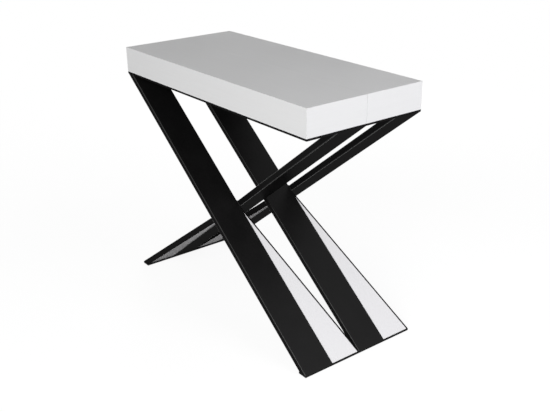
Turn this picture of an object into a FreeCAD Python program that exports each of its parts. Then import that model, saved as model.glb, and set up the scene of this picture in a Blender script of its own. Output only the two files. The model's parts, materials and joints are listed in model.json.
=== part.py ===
"""Extending console table: two equal halves on crossed legs, joined by telescopic arms.

X runs along the table's width, Y from front to back and Z up. The origin is on the floor,
under the middle of the closed table. The rear half stands still; the front half and the
rail stages slide towards -Y. Both halves are the same assembly, turned about the Z axis.
"""
import FreeCAD, Part
import os

import Sketcher

# Driving sizes, in millimetres unless the name says count or shares.
SIZES = [
    # the closed table
    ("table_width", 900),
    ("table_height", 770),
    ("seam_gap", 0.5),
    # the slab: mitred boards over a steel plate
    ("slab_height", 78),
    ("board", 18),
    ("plate_thickness", 6),
    # the legs: two tubes side by side fill the depth of a half
    ("leg_width", 100),
    ("leg_thickness", 18.5),
    ("leg_wall", 2),
    ("leg_corner_radius", 2),
    # the triangle beside each leg
    ("gusset_board", 16),
    ("edge_bar_thickness", 4),
    ("apex_gap", 0.5),
    # the foot
    ("foot_bar_thickness", 6),
    ("pad_thickness", 1),
    ("pad_length", 60),
    ("pad_inset", 4),
    # the telescopic arms
    ("arm_inset", 150),
    ("rail_width", 14),
    ("rail_height", 40),
    ("rail_wall", 2),
    ("rail_gap", 0.6),
    ("rail_top_gap", 0.3),
    ("rail_end_gap", 2),
    ("slot_mouth", 12),
    ("slot_height", 20),
    ("slot_lip", 3),
    ("slot_depth", 7),
    ("running_clearance", 0.4),
    ("tongue_length", 91.5),
    ("stop_length", 8),
    ("flange_width", 16),
    ("flange_thickness", 3),
    # the tie bars under the sliding stages
    ("tie_width", 24),
    ("tie_thickness", 4),
    ("tie_gap", 0.5),
    ("tie_pitch", 40),
    # fasteners and dowels
    ("plate_screw_diameter", 4.5),
    ("plate_screw_head", 9),
    ("plate_screw_length", 40),
    ("rail_screw_diameter", 4),
    ("rail_screw_head", 8),
    ("rail_screw_head_height", 2.8),
    ("rail_screw_grip", 13),
    ("screw_clearance", 0.15),
    ("dowel_diameter", 8),
    ("dowel_length", 30),
    ("dowel_chamfer", 1),
    ("dowel_clearance", 0.3),
    ("dowel_inset", 120),
    # how far cutting outlines run past what they cut
    ("overrun", 10),
]

# Sizes that follow from the driving ones.
DERIVED = [
    ("half_width", "=sizes.table_width / 2"),
    ("half_depth", "=2 * sizes.leg_width"),
    ("seam_y", "=sizes.seam_gap / 2"),
    ("outer_y", "=half_depth + seam_y"),
    ("half_middle_y", "=half_depth / 2 + seam_y"),
    ("slab_bottom", "=sizes.table_height - sizes.slab_height"),
    ("plate_bottom", "=slab_bottom - sizes.plate_thickness"),
    ("panel_bottom", "=sizes.table_height - sizes.board"),
    ("inner_half_width", "=half_width - sizes.board"),
    ("inner_half_depth", "=half_depth - sizes.board"),
    ("inner_height", "=sizes.slab_height - sizes.board"),
    # a leg runs from its foot bar at one end of the table to the plate at the other end
    ("leg_bottom", "=sizes.pad_thickness + sizes.foot_bar_thickness"),
    ("leg_rise", "=plate_bottom - leg_bottom"),
    ("leg_angle", "=atan(leg_rise / sizes.table_width)"
                  " + asin(sizes.leg_thickness / sqrt(leg_rise^2 + sizes.table_width^2))"),
    ("leg_cut", "=sizes.leg_thickness / sin(leg_angle)"),
    ("leg_slant", "=sizes.leg_thickness / tan(leg_angle)"),
    ("leg_upper_length", "=leg_rise / sin(leg_angle)"),
    ("leg_blank_length", "=leg_upper_length + leg_slant"),
    ("cut_back_x", "=sizes.overrun * cos(leg_angle)"),
    ("cut_back_z", "=sizes.overrun * sin(leg_angle)"),
    ("cut_ahead_x", "=(leg_cut + sizes.overrun) * cos(leg_angle)"),
    ("cut_ahead_z", "=(leg_cut + sizes.overrun) * sin(leg_angle)"),
    # the triangle: from the foot up to the crossing leg
    ("gusset_length", "=(half_width - leg_cut / 2) / cos(leg_angle) - sizes.apex_gap"),
    ("gusset_angle", "=atan(sizes.leg_width / gusset_length)"),
    ("edge_bar_foot", "=sizes.edge_bar_thickness / cos(gusset_angle)"),
    ("edge_bar_apex", "=gusset_length - sizes.edge_bar_thickness / sin(gusset_angle)"),
    ("gusset_recess", "=(sizes.leg_thickness - sizes.gusset_board) / 2"),
    # the arms
    ("arm_outer_x", "=half_width - sizes.arm_inset"),
    ("rail_length", "=2 * (outer_y - sizes.board - sizes.rail_end_gap)"),
    ("rail_pitch", "=sizes.rail_width + sizes.rail_gap"),
    ("rail_top", "=panel_bottom - sizes.rail_top_gap"),
    ("rail_bottom", "=rail_top - sizes.rail_height"),
    ("slot_middle", "=sizes.rail_height / 2"),
    ("mouth_low", "=slot_middle - sizes.slot_mouth / 2"),
    ("mouth_high", "=slot_middle + sizes.slot_mouth / 2"),
    ("slot_low", "=slot_middle - sizes.slot_height / 2"),
    ("slot_high", "=slot_middle + sizes.slot_height / 2"),
    ("neck_end", "=sizes.rail_width + sizes.rail_gap + sizes.slot_lip + sizes.running_clearance"),
    ("head_end", "=sizes.rail_width + sizes.rail_gap + sizes.slot_depth - sizes.running_clearance"),
    ("tongue_start", "=rail_length / 2 - sizes.tongue_length"),
    ("flange_bottom", "=sizes.rail_height - sizes.flange_thickness"),
    ("tie_seat", "=sizes.tie_thickness + sizes.tie_gap"),
    # holes for fasteners and dowels
    ("plate_screw_radius", "=sizes.plate_screw_diameter / 2"),
    ("plate_screw_head_radius", "=sizes.plate_screw_head / 2"),
    ("rail_screw_radius", "=sizes.rail_screw_diameter / 2"),
    ("rail_screw_head_radius", "=sizes.rail_screw_head / 2"),
    ("rail_screw_length", "=sizes.flange_thickness + sizes.rail_top_gap + sizes.rail_screw_grip"),
    ("dowel_radius", "=sizes.dowel_diameter / 2"),
    ("dowel_spacing", "=half_width - sizes.dowel_inset"),
    ("dowel_middle_z", "=sizes.table_height - sizes.board / 2"),
]

MEMBER_COUNT = 7
PANEL_SCREW_SHARES = [1 / 6, 3 / 6, 5 / 6]
LONG_APRON_SCREW_SHARES = [-0.4, -0.2, 0, 0.2, 0.4]
END_APRON_SCREW_SHARES = [0.35, 0.8]
DOWEL_PLACES = [-1, 0, 1]

doc = FreeCAD.newDocument("extending_console_table")


def fill_sheet(name, rows):
    """A spreadsheet with one named value a row."""
    sheet = doc.addObject("Spreadsheet::Sheet", name)
    for row, (alias, content) in enumerate(rows, 1):
        sheet.set(f"A{row}", alias)
        sheet.setAlias(f"B{row}", alias)
        sheet.set(f"B{row}", str(content))
    doc.recompute()
    return sheet


sizes = fill_sheet("sizes", SIZES)
derived = fill_sheet("derived", DERIVED)
pieces = []


def value(expression):
    """The number that an expression stands for now."""
    result = sizes.evalExpression(str(expression))
    return float(getattr(result, "Value", result))


def bind(feature, **expressions):
    for name, expression in expressions.items():
        feature.setExpression(name, str(expression))


def place(feature, seat, x="0", y="0", z="0", yaw=0, pitch="0", roll=0):
    """Puts a feature at a seat: a half turn (sign -1) or none (1) about Z, and a shift along Y."""
    sign, shift = seat
    turned_yaw = yaw if sign > 0 else yaw + 180
    base = f"vector({sign} * ({x}); {sign} * ({y}) + ({shift}); {z})"
    feature.setExpression("Placement", f"placement({base}; rotation({turned_yaw}; {pitch}; {roll}))")


def new_body(label):
    body = doc.addObject("PartDesign::Body", label)
    body.Label = label
    return body


def keep(feature):
    """Marks a finished sub-part, which is written to its own file."""
    pieces.append(feature)


def new_sketch(body, name, role, offset=None):
    sketch = body.newObject("Sketcher::SketchObject", name)
    plane = [item for item in body.Origin.OriginFeatures if item.Role == role][0]
    sketch.AttachmentSupport = [(plane, "")]
    sketch.MapMode = "FlatFace"
    if offset:
        sketch.setExpression("AttachmentOffset.Base.z", offset)
    return sketch


def fix_point(sketch, geometry, point, x, y):
    """Ties a sketch point to two expressions, or to an axis where one of them is zero."""
    for kind, axis, expression in (("DistanceX", -2, x), ("DistanceY", -1, y)):
        if expression == "0":
            sketch.addConstraint(Sketcher.Constraint("PointOnObject", geometry, point, axis))
        else:
            index = sketch.addConstraint(Sketcher.Constraint(kind, geometry, point, value(expression)))
            sketch.setExpression(f"Constraints[{index}]", expression)


def draw_outline(sketch, points):
    """A closed outline through points that are given as pairs of expressions."""
    corners = [FreeCAD.Vector(value(x), value(y), 0) for x, y in points]
    first = sketch.GeometryCount
    last = len(points) - 1
    for index, corner in enumerate(corners):
        following = corners[0 if index == last else index + 1]
        sketch.addGeometry(Part.LineSegment(corner, following), False)
    for index in range(len(points)):
        following = first if index == last else first + index + 1
        sketch.addConstraint(Sketcher.Constraint("Coincident", first + index, 2, following, 1))
    for index, (x, y) in enumerate(points):
        fix_point(sketch, first + index, 1, x, y)


def rectangle(x_low, y_low, x_high, y_high):
    return [(x_low, y_low), (x_high, y_low), (x_high, y_high), (x_low, y_high)]


def draw_circles(sketch, centres, radius):
    for x, y in centres:
        centre = FreeCAD.Vector(value(x), value(y), 0)
        circle = sketch.addGeometry(Part.Circle(centre, FreeCAD.Vector(0, 0, 1), value(radius)), False)
        index = sketch.addConstraint(Sketcher.Constraint("Radius", circle, value(radius)))
        sketch.setExpression(f"Constraints[{index}]", radius)
        fix_point(sketch, circle, 3, x, y)


def add_pad(body, name, sketch, length, reverse=False, symmetric=False):
    pad = body.newObject("PartDesign::Pad", name)
    pad.Profile = sketch
    bind(pad, Length=length)
    pad.Reversed = reverse
    if symmetric:
        pad.SideType = "Symmetric"
    return pad


def add_pocket(body, name, sketch, length=None, reverse=False):
    """Cuts to a depth, or right through both ways where no depth is given."""
    pocket = body.newObject("PartDesign::Pocket", name)
    pocket.Profile = sketch
    if length:
        bind(pocket, Length=length)
        pocket.Reversed = reverse
    else:
        pocket.Type = "ThroughAll"
        pocket.SideType = "Symmetric"
    return pocket


def add_wedge(body, x_low, x_high, z_low, z_high, x2_low, x2_high, z2_low, z2_high):
    """A mitred board: its first face lies on local y = 0 and its second a board's thickness on."""
    wedge = body.newObject("PartDesign::AdditiveWedge", "mitred_board")
    bind(wedge, Xmin=x_low, Xmax=x_high, Zmin=z_low, Zmax=z_high)
    bind(wedge, X2min=x2_low, X2max=x2_high, Z2min=z2_low, Z2max=z2_high)
    bind(wedge, Ymin="0", Ymax="sizes.board")


def add_revolution(body, name, half_section):
    """Turns a half section, drawn in the XZ plane, about the Z axis."""
    sketch = new_sketch(body, f"{name}_half_section", "XZ_Plane")
    draw_outline(sketch, half_section)
    turned = body.newObject("PartDesign::Revolution", name)
    turned.Profile = sketch
    turned.ReferenceAxis = (sketch, ["V_Axis"])
    turned.Angle = 360


def group(label, prototype, seats):
    """Several separate copies of one solid, kept as one sub-part."""
    links = []
    for number, (seat, places) in enumerate(seats, 1):
        link = doc.addObject("App::Link", f"{label}_{number}")
        link.LinkedObject = prototype
        place(link, seat, **places)
        links.append(link)
    compound = doc.addObject("Part::Compound", label)
    compound.Label = label
    compound.Links = links
    keep(compound)


# Fasteners, dowels and pads, each drawn once and then repeated.

def make_plate_screw():
    body = new_body("plate_screw")
    add_revolution(body, "countersunk_screw", [
        ("0", "0"),
        ("derived.plate_screw_head_radius", "0"),
        ("derived.plate_screw_radius", "derived.plate_screw_head_radius - derived.plate_screw_radius"),
        ("derived.plate_screw_radius", "sizes.plate_screw_length - derived.plate_screw_radius"),
        ("0", "sizes.plate_screw_length"),
    ])
    return body


def make_rail_screw():
    body = new_body("rail_screw")
    add_revolution(body, "flat_head_screw", [
        ("0", "-sizes.rail_screw_head_height"),
        ("derived.rail_screw_head_radius", "-sizes.rail_screw_head_height"),
        ("derived.rail_screw_head_radius", "0"),
        ("derived.rail_screw_radius", "0"),
        ("derived.rail_screw_radius", "derived.rail_screw_length - derived.rail_screw_radius"),
        ("0", "derived.rail_screw_length"),
    ])
    return body


def make_dowel():
    body = new_body("dowel")
    add_revolution(body, "chamfered_dowel", [
        ("0", "0"),
        ("derived.dowel_radius - sizes.dowel_chamfer", "0"),
        ("derived.dowel_radius", "sizes.dowel_chamfer"),
        ("derived.dowel_radius", "sizes.dowel_length - sizes.dowel_chamfer"),
        ("derived.dowel_radius - sizes.dowel_chamfer", "sizes.dowel_length"),
        ("0", "sizes.dowel_length"),
    ])
    return body


def make_pad():
    """One pad, from its corner nearest the end of the table and the end of the foot bar."""
    body = new_body("pad")
    sketch = new_sketch(body, "pad_outline", "XY_Plane")
    draw_outline(sketch, rectangle("-derived.leg_cut + sizes.pad_inset", "0",
                                   "-sizes.pad_inset", "sizes.pad_length"))
    add_pad(body, "pad_sheet", sketch, "sizes.pad_thickness")
    return body


# Places that the plate, the aprons and the screws share.

def long_apron_screws():
    """Distances along the width, from the middle."""
    return [f"{share} * sizes.table_width" if share else "0" for share in LONG_APRON_SCREW_SHARES]


def end_apron_screws():
    """Distances into the lane that no leg top covers, from the edge of the half beside it."""
    return [f"{share} * sizes.leg_width" for share in END_APRON_SCREW_SHARES]


def panel_screws():
    """Distances from the seam along a rail flange."""
    return [f"derived.seam_y + {share} * derived.rail_length / 2" for share in PANEL_SCREW_SHARES]


def panel_screw_x(outer):
    """Distance from the table's middle to a flange's screws, outside or inside its arm."""
    if outer:
        return "derived.arm_outer_x + sizes.flange_width / 2"
    arm_width = f"{MEMBER_COUNT} * derived.rail_pitch - sizes.rail_gap"
    return f"derived.arm_outer_x - ({arm_width}) - sizes.flange_width / 2"


def dowel_places():
    return [f"{side} * derived.dowel_spacing" if side else "0" for side in DOWEL_PLACES]


# One half of the slab.

def make_top_panel(half, seat):
    """Mitred on three sides; drawn with its thickness along local Y and its depth along local Z."""
    body = new_body(f"{half}_top_panel")
    add_wedge(body, "-derived.inner_half_width", "derived.inner_half_width", "0",
              "derived.inner_half_depth", "-derived.half_width", "derived.half_width", "0",
              "derived.half_depth")
    pilots = new_sketch(body, "rail_screw_pilots", "XZ_Plane")
    screw_x = panel_screw_x(outer=(half == "rear"))
    centres = [(f"{side} * ({screw_x})", f"{y} - derived.seam_y")
               for side in (-1, 1) for y in panel_screws()]
    draw_circles(pilots, centres, "derived.rail_screw_radius + sizes.screw_clearance")
    add_pocket(body, "rail_screw_pilot_holes", pilots, "sizes.rail_screw_grip + sizes.screw_clearance")
    bores = new_sketch(body, "dowel_bores", "XY_Plane")
    fit = "sizes.screw_clearance" if half == "rear" else "sizes.dowel_clearance"
    draw_circles(bores, [(x, "sizes.board / 2") for x in dowel_places()],
                 f"derived.dowel_radius + {fit}")
    add_pocket(body, "dowel_holes", bores,
               "sizes.dowel_length / 2 - derived.seam_y + sizes.dowel_clearance", reverse=True)
    place(body, seat, y="-derived.seam_y", z="derived.panel_bottom", roll=90)
    keep(body)


def add_pilot_holes(body, centres):
    sketch = new_sketch(body, "plate_screw_pilots", "XY_Plane")
    draw_circles(sketch, centres, "derived.plate_screw_radius + sizes.screw_clearance")
    add_pocket(body, "plate_screw_pilot_holes", sketch,
               "sizes.plate_screw_length - sizes.plate_thickness + sizes.screw_clearance", reverse=True)


def make_long_apron(half, seat):
    body = new_body(f"{half}_long_apron")
    add_wedge(body, "-derived.half_width", "derived.half_width", "0", "sizes.slab_height",
              "-derived.inner_half_width", "derived.inner_half_width", "0", "derived.inner_height")
    add_pilot_holes(body, [(x, "sizes.board / 2") for x in long_apron_screws()])
    place(body, seat, y="-derived.outer_y", z="derived.slab_bottom")
    keep(body)


def make_end_aprons(half, seat, first_side, second_side):
    """First the apron at the seat's right end, with its screws in the outer lane, then the left one."""
    first = new_body(f"{half}_{first_side}_end_apron")
    add_wedge(first, "-derived.half_depth", "0", "0", "sizes.slab_height",
              "-derived.inner_half_depth", "0", "0", "derived.inner_height")
    add_pilot_holes(first, [(f"{y} - derived.half_depth", "sizes.board / 2") for y in end_apron_screws()])
    place(first, seat, x="derived.half_width", y="-derived.seam_y", z="derived.slab_bottom", yaw=90)
    keep(first)
    second = new_body(f"{half}_{second_side}_end_apron")
    add_wedge(second, "0", "derived.half_depth", "0", "sizes.slab_height",
              "0", "derived.inner_half_depth", "0", "derived.inner_height")
    add_pilot_holes(second, [(y, "sizes.board / 2") for y in end_apron_screws()])
    place(second, seat, x="-derived.half_width", y="-derived.seam_y", z="derived.slab_bottom", yaw=-90)
    keep(second)


def plate_screw_places():
    """All plate screws of a half, from the middle of its seam."""
    middle = "sizes.board / 2"
    places = [(x, f"{middle} - derived.half_depth") for x in long_apron_screws()]
    for y in end_apron_screws():
        places.append((f"derived.half_width - {middle}", f"{y} - derived.half_depth"))
        places.append((f"{middle} - derived.half_width", f"-({y})"))
    return places


def make_mounting_plate(half, seat, screw):
    """The steel sheet under the slab, with countersunk holes for the screws into the aprons."""
    body = new_body(f"{half}_mounting_plate")
    sketch = new_sketch(body, "plate_outline", "XY_Plane")
    draw_outline(sketch, rectangle("-derived.half_width", "-derived.half_depth", "derived.half_width", "0"))
    add_pad(body, "plate_sheet", sketch, "sizes.plate_thickness")
    centres = new_sketch(body, "screw_centres", "XY_Plane")
    draw_circles(centres, plate_screw_places(), "derived.plate_screw_radius")
    doc.recompute()
    holes = body.newObject("PartDesign::Hole", "countersunk_holes")
    holes.Profile = centres
    holes.ThreadType = "None"
    holes.DepthType = "ThroughAll"
    holes.HoleCutType = "Countersink"
    holes.HoleCutCountersinkAngle = 90
    holes.Reversed = True
    bind(holes, Diameter="sizes.plate_screw_diameter + 2 * sizes.screw_clearance")
    bind(holes, HoleCutDiameter="sizes.plate_screw_head + 2 * sizes.screw_clearance")
    place(body, seat, y="-derived.seam_y", z="derived.plate_bottom")
    keep(body)
    seats = [(seat, {"x": x, "y": f"{y} - derived.seam_y", "z": "derived.plate_bottom"})
             for x, y in plate_screw_places()]
    group(f"{half}_plate_screws", screw, seats)


def make_rail_screws(half, seat, screw):
    x = panel_screw_x(outer=(half == "rear"))
    z = "derived.rail_bottom + derived.flange_bottom"
    seats = [(seat, {"x": f"{side} * ({x})", "y": f"-({y})", "z": z})
             for side in (-1, 1) for y in panel_screws()]
    group(f"{half}_rail_screws", screw, seats)


# One leg with its triangle and foot. Local X runs up the leg from the foot, local Y from the
# triangle's free edge to the leg and local Z out of the leg's upper face.

def place_leg_piece(body, seat):
    place(body, seat, x="derived.half_width", y="-derived.seam_y", z="derived.leg_bottom",
          yaw=180, pitch="-derived.leg_angle")


def cut_foot(body):
    """The level saw cut on the foot bar."""
    sketch = new_sketch(body, "foot_cut_outline", "XZ_Plane")
    draw_outline(sketch, [("-derived.cut_back_x", "derived.cut_back_z"),
                          ("-derived.cut_back_x", "-derived.cut_ahead_z"),
                          ("derived.cut_ahead_x", "-derived.cut_ahead_z")])
    add_pocket(body, "foot_cut", sketch)


def cut_head(body):
    """The level saw cut under the mounting plate."""
    sketch = new_sketch(body, "head_cut_outline", "XZ_Plane")
    back_x = "derived.leg_upper_length - derived.cut_back_x"
    ahead_x = "derived.leg_upper_length + derived.cut_ahead_x"
    draw_outline(sketch, [(back_x, "derived.cut_back_z"), (ahead_x, "-derived.cut_ahead_z"),
                          (ahead_x, "derived.cut_back_z")])
    add_pocket(body, "head_cut", sketch)


def make_leg(label, seat):
    """A flat rectangular tube with rounded corners, cut level at both ends."""
    body = new_body(label)
    section = new_sketch(body, "tube_section", "YZ_Plane")
    draw_outline(section, rectangle("sizes.leg_width", "-sizes.leg_thickness", "derived.half_depth", "0"))
    add_pad(body, "tube_blank", section, "derived.leg_blank_length")
    doc.recompute()
    blank = body.Tip
    long_edges = [f"Edge{number}" for number, edge in enumerate(blank.Shape.Edges, 1)
                  if edge.Length > value("derived.leg_upper_length")]
    rounding = body.newObject("PartDesign::Fillet", "tube_corners")
    rounding.Base = (blank, long_edges)
    bind(rounding, Radius="sizes.leg_corner_radius")
    bore = new_sketch(body, "tube_bore", "YZ_Plane")
    draw_outline(bore, rectangle("sizes.leg_width + sizes.leg_wall", "sizes.leg_wall - sizes.leg_thickness",
                                 "derived.half_depth - sizes.leg_wall", "-sizes.leg_wall"))
    add_pocket(body, "tube_hollow", bore)
    cut_foot(body)
    cut_head(body)
    place_leg_piece(body, seat)
    keep(body)


def make_gusset(label, seat):
    """The triangular board between leg, foot bar and edge bar."""
    body = new_body(label)
    sketch = new_sketch(body, "triangle", "XY_Plane", offset="-derived.gusset_recess")
    draw_outline(sketch, [("0", "derived.edge_bar_foot"), ("derived.edge_bar_apex", "sizes.leg_width"),
                          ("0", "sizes.leg_width")])
    add_pad(body, "triangular_board", sketch, "sizes.gusset_board", reverse=True)
    cut_foot(body)
    place_leg_piece(body, seat)
    keep(body)


def make_edge_bar(label, seat):
    """The flat bar along the triangle's free edge, from the foot up to the crossing."""
    body = new_body(label)
    sketch = new_sketch(body, "bar_outline", "XY_Plane")
    draw_outline(sketch, [("0", "0"), ("derived.gusset_length", "sizes.leg_width"),
                          ("derived.edge_bar_apex", "sizes.leg_width"), ("0", "derived.edge_bar_foot")])
    add_pad(body, "flat_bar", sketch, "sizes.leg_thickness", reverse=True)
    cut_foot(body)
    place_leg_piece(body, seat)
    keep(body)


def make_foot_bar(label, seat):
    bar = doc.addObject("Part::Box", label)
    bar.Label = label
    bind(bar, Length="derived.leg_cut", Width="derived.half_depth", Height="sizes.foot_bar_thickness")
    corner_x = "derived.half_width - derived.leg_cut"
    place(bar, seat, x=corner_x, y="-derived.outer_y", z="sizes.pad_thickness")
    keep(bar)


def pad_seats(leg_seat):
    """Two pads under a foot bar, one near each of its ends."""
    outer = "-derived.outer_y + sizes.pad_inset"
    inner = "-derived.seam_y - sizes.pad_inset - sizes.pad_length"
    return [(leg_seat, {"x": "derived.half_width", "y": y}) for y in (outer, inner)]


# One rail of an arm. Local X runs inwards from the rail's outer face and local Z up from its
# bottom; the right arm is the left one mirrored.

def slot_outline():
    return [("0", "derived.mouth_high"), ("sizes.slot_lip", "derived.mouth_high"),
            ("sizes.slot_lip", "derived.slot_high"), ("sizes.slot_depth", "derived.slot_high"),
            ("sizes.slot_depth", "derived.slot_low"), ("sizes.slot_lip", "derived.slot_low"),
            ("sizes.slot_lip", "derived.mouth_low"), ("0", "derived.mouth_low")]


def tongue_outline():
    neck_low = "derived.mouth_low + sizes.running_clearance"
    neck_high = "derived.mouth_high - sizes.running_clearance"
    head_low = "derived.slot_low + sizes.running_clearance"
    head_high = "derived.slot_high - sizes.running_clearance"
    return [("sizes.rail_width", neck_low), ("derived.neck_end", neck_low),
            ("derived.neck_end", head_low), ("derived.head_end", head_low),
            ("derived.head_end", head_high), ("derived.neck_end", head_high),
            ("derived.neck_end", neck_high), ("sizes.rail_width", neck_high)]


def mirrored(points, side):
    """The outline as it is for the left arm, or mirrored in X for the right arm."""
    if side == "left":
        return points
    return [(x if x == "0" else f"-({x})", z) for x, z in points]


def chambers(with_slot):
    """The closed hollows of the extrusion, above, below and, without a groove, beside the middle."""
    inner = "sizes.rail_width - sizes.rail_wall"
    outlines = [rectangle("sizes.rail_wall", "derived.slot_high + sizes.rail_wall",
                          inner, "derived.flange_bottom"),
                rectangle("sizes.rail_wall", "sizes.flange_thickness",
                          inner, "derived.slot_low - sizes.rail_wall")]
    if not with_slot:
        outlines.append(rectangle("sizes.rail_wall", "derived.slot_low", inner, "derived.slot_high"))
    return outlines


def rail_x(member, side):
    """World X of a rail's outer face."""
    sign = "-1" if side == "left" else "1"
    return f"{sign} * (derived.arm_outer_x - {member} * derived.rail_pitch)"


def make_rail(label, member, side):
    """Rail 0 is screwed to the rear half and the last rail to the front half."""
    body = new_body(label)
    has_slot = member > 0
    has_tongue = member < MEMBER_COUNT - 1
    section = new_sketch(body, "rail_section", "XZ_Plane")
    outline = [("0", "0"), ("sizes.rail_width", "0"), ("sizes.rail_width", "sizes.rail_height"),
               ("0", "sizes.rail_height")]
    if has_slot:
        outline += slot_outline()
    draw_outline(section, mirrored(outline, side))
    add_pad(body, "extrusion", section, "derived.rail_length", symmetric=True)
    hollows = new_sketch(body, "chamber_section", "XZ_Plane")
    for chamber in chambers(has_slot):
        draw_outline(hollows, mirrored(chamber, side))
    add_pocket(body, "chambers", hollows)
    if has_tongue:
        tongue = new_sketch(body, "tongue_section", "XZ_Plane", offset="derived.tongue_start")
        draw_outline(tongue, mirrored(tongue_outline(), side))
        add_pad(body, "tongue", tongue, "sizes.tongue_length")
    if not (has_slot and has_tongue):
        add_flange(body, side, outer=not has_slot)
    place(body, (1, "0"), x=rail_x(member, side), z="derived.rail_bottom")
    keep(body)


def add_flange(body, side, outer):
    """The flange that carries the screws into the top panel, outside or inside the rail."""
    if outer:
        near, far, middle = "0", "-sizes.flange_width", "-sizes.flange_width / 2"
    else:
        near, far = "sizes.rail_width", "sizes.rail_width + sizes.flange_width"
        middle = "sizes.rail_width + sizes.flange_width / 2"
    section = new_sketch(body, "flange_section", "XZ_Plane")
    outline = rectangle(near, "derived.flange_bottom", far, "sizes.rail_height")
    draw_outline(section, mirrored(outline, side))
    add_pad(body, "flange", section, "derived.rail_length", symmetric=True)
    holes = new_sketch(body, "flange_holes", "XY_Plane")
    sign = "1" if outer else "-1"
    centres = [(middle, f"{sign} * ({y})") for y in panel_screws()]
    draw_circles(holes, mirrored(centres, side), "derived.rail_screw_radius + sizes.screw_clearance")
    add_pocket(body, "flange_screw_holes", holes)


def make_stop_plug(name, side):
    """A plug that fills the rear end of a rail's groove and stops the neighbour's tongue."""
    body = new_body(name)
    section = new_sketch(body, "plug_section", "XZ_Plane", offset="-derived.rail_length / 2")
    draw_outline(section, mirrored(slot_outline(), side))
    add_pad(body, "plug", section, "sizes.stop_length")
    return body


def make_stop_plugs(label, member, plugs):
    links = []
    for side, plug in plugs.items():
        link = doc.addObject("App::Link", f"{label}_{side}")
        link.LinkedObject = plug
        place(link, (1, "0"), x=rail_x(member, side), z="derived.rail_bottom")
        links.append(link)
    compound = doc.addObject("Part::Compound", label)
    compound.Label = label
    compound.Links = links
    keep(compound)


def make_tie(label, member):
    """A flat bar under both rails of a stage; only its raised ends touch, so inner rails pass over."""
    body = new_body(label)
    reach = f"derived.arm_outer_x - {member} * derived.rail_pitch"
    inner = f"{reach} - sizes.rail_width"
    section = new_sketch(body, "tie_section", "XZ_Plane")
    right_half = [(reach, "0"), (reach, "derived.tie_seat"), (inner, "derived.tie_seat"),
                  (inner, "sizes.tie_thickness")]
    left_half = [(f"-({x})", z) for x, z in reversed(right_half)]
    draw_outline(section, right_half + left_half)
    add_pad(body, "tie_bar", section, "sizes.tie_width", symmetric=True)
    middle_member = (MEMBER_COUNT - 1) // 2
    steps = middle_member - member
    y = f"{steps} * sizes.tie_pitch" if steps else "0"
    place(body, (1, "0"), y=y, z="derived.rail_bottom - derived.tie_seat")
    keep(body)


# The assembly.

HALVES = {
    "front": {"seat": (1, "0"), "ends": ("right", "left")},
    "rear": {"seat": (-1, "0"), "ends": ("left", "right")},
}
LEG_SEATS = {
    "front_right": (1, "0"),
    "front_left": (-1, "-2 * derived.half_middle_y"),
    "rear_left": (-1, "0"),
    "rear_right": (1, "2 * derived.half_middle_y"),
}


def make_halves():
    plate_screw = make_plate_screw()
    rail_screw = make_rail_screw()
    for half, layout in HALVES.items():
        seat = layout["seat"]
        make_top_panel(half, seat)
        make_long_apron(half, seat)
        make_end_aprons(half, seat, *layout["ends"])
        make_mounting_plate(half, seat, plate_screw)
        make_rail_screws(half, seat, rail_screw)
    dowel = make_dowel()
    seats = [((1, "0"), {"x": x, "y": "-sizes.dowel_length / 2", "z": "derived.dowel_middle_z", "roll": -90})
             for x in dowel_places()]
    group("rear_alignment_dowels", dowel, seats)


def make_legs():
    pad = make_pad()
    for half in HALVES:
        seats = []
        for side in ("right", "left"):
            seat = LEG_SEATS[f"{half}_{side}"]
            make_leg(f"{half}_{side}_leg", seat)
            make_gusset(f"{half}_{side}_gusset_panel", seat)
            make_edge_bar(f"{half}_{side}_gusset_edge_bar", seat)
            make_foot_bar(f"{half}_{side}_foot_bar", seat)
            seats += pad_seats(seat)
        group(f"{half}_foot_pads", pad, seats)


def make_arms():
    plugs = {side: make_stop_plug(f"{side}_stop_plug", side) for side in ("left", "right")}
    for member in range(MEMBER_COUNT):
        if member == 0:
            stage = "rear"
        elif member == MEMBER_COUNT - 1:
            stage = "front"
        else:
            stage = f"stage_{member}"
            make_tie(f"{stage}_tie_bar", member)
        for side in ("left", "right"):
            make_rail(f"{stage}_{side}_rail", member, side)
        if member > 0:
            make_stop_plugs(f"{stage}_stop_plugs", member, plugs)


def check_model():
    """Stops before anything is written if a feature failed or a piece is not sound."""
    failed = [item.Label for item in doc.Objects if {"Invalid", "Error"} & set(item.State)]
    if failed:
        raise RuntimeError(f"failed features: {failed}")
    unsound = [piece.Label for piece in pieces if piece.Shape.isNull() or not piece.Shape.isValid()]
    if unsound:
        raise RuntimeError(f"unsound pieces: {unsound}")


def write_pieces():
    os.makedirs("parts", exist_ok=True)
    for piece in pieces:
        piece.Shape.exportStep(os.path.join("parts", f"{piece.Label}.step"))
    print(f"{len(pieces)} pieces written")


make_halves()
make_legs()
make_arms()
doc.recompute()
check_model()
write_pieces()
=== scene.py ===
"""Finishes, fasteners and welds of an extending console table.

The white mitred slab, the black crossed legs and the telescopic rails keep the place and size of
the solids that they stand for. Lengths are in metres.
"""
import json
import math

import bmesh
import bpy
from mathutils import Matrix, Vector

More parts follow.
